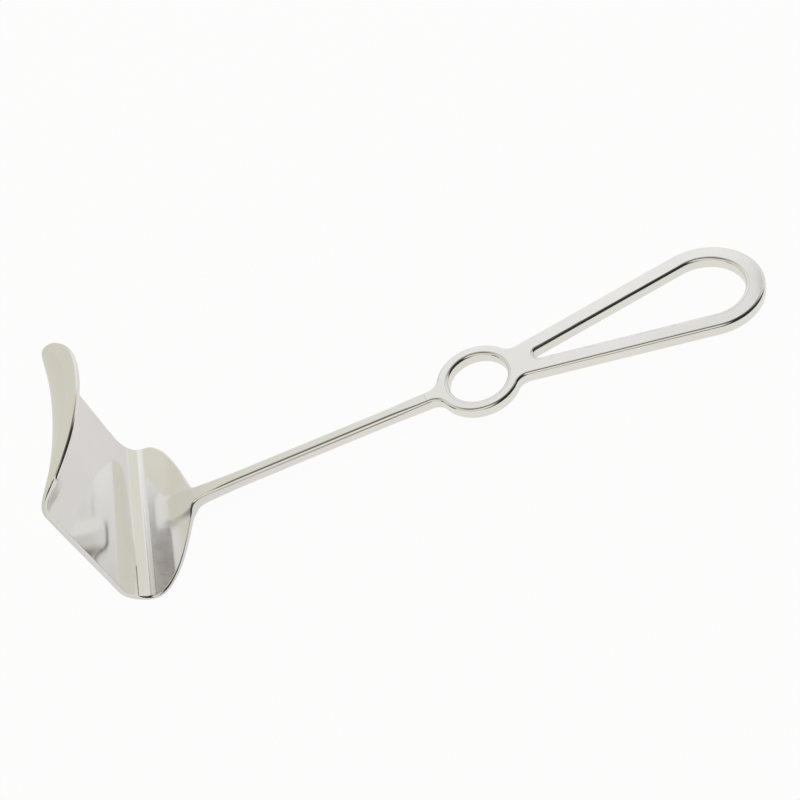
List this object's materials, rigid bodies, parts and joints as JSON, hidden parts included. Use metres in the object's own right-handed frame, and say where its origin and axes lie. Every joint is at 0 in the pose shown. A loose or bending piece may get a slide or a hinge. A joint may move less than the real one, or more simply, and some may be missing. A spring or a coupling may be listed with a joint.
{
  "type": "handheld surgical retractor",
  "caption": "One-piece steel retractor: a broad right-angled blade with a curled lip, a slim shaft, a finger ring and an open teardrop loop handle.",
  "frame": {"origin": "centre of the finger ring, at half the handle's thickness", "axes": "+X along the handle towards the loop's round end, +Z normal to the handle on the side that the blade rises"},
  "size_m": [0.2449, 0.0736, 0.0742],
  "materials": {
    "polished_steel": "mirror-polished stainless steel"
  },
  "bodies": {
    "root": {"retractor": "polished_steel"}
  },
  "joints": []
}
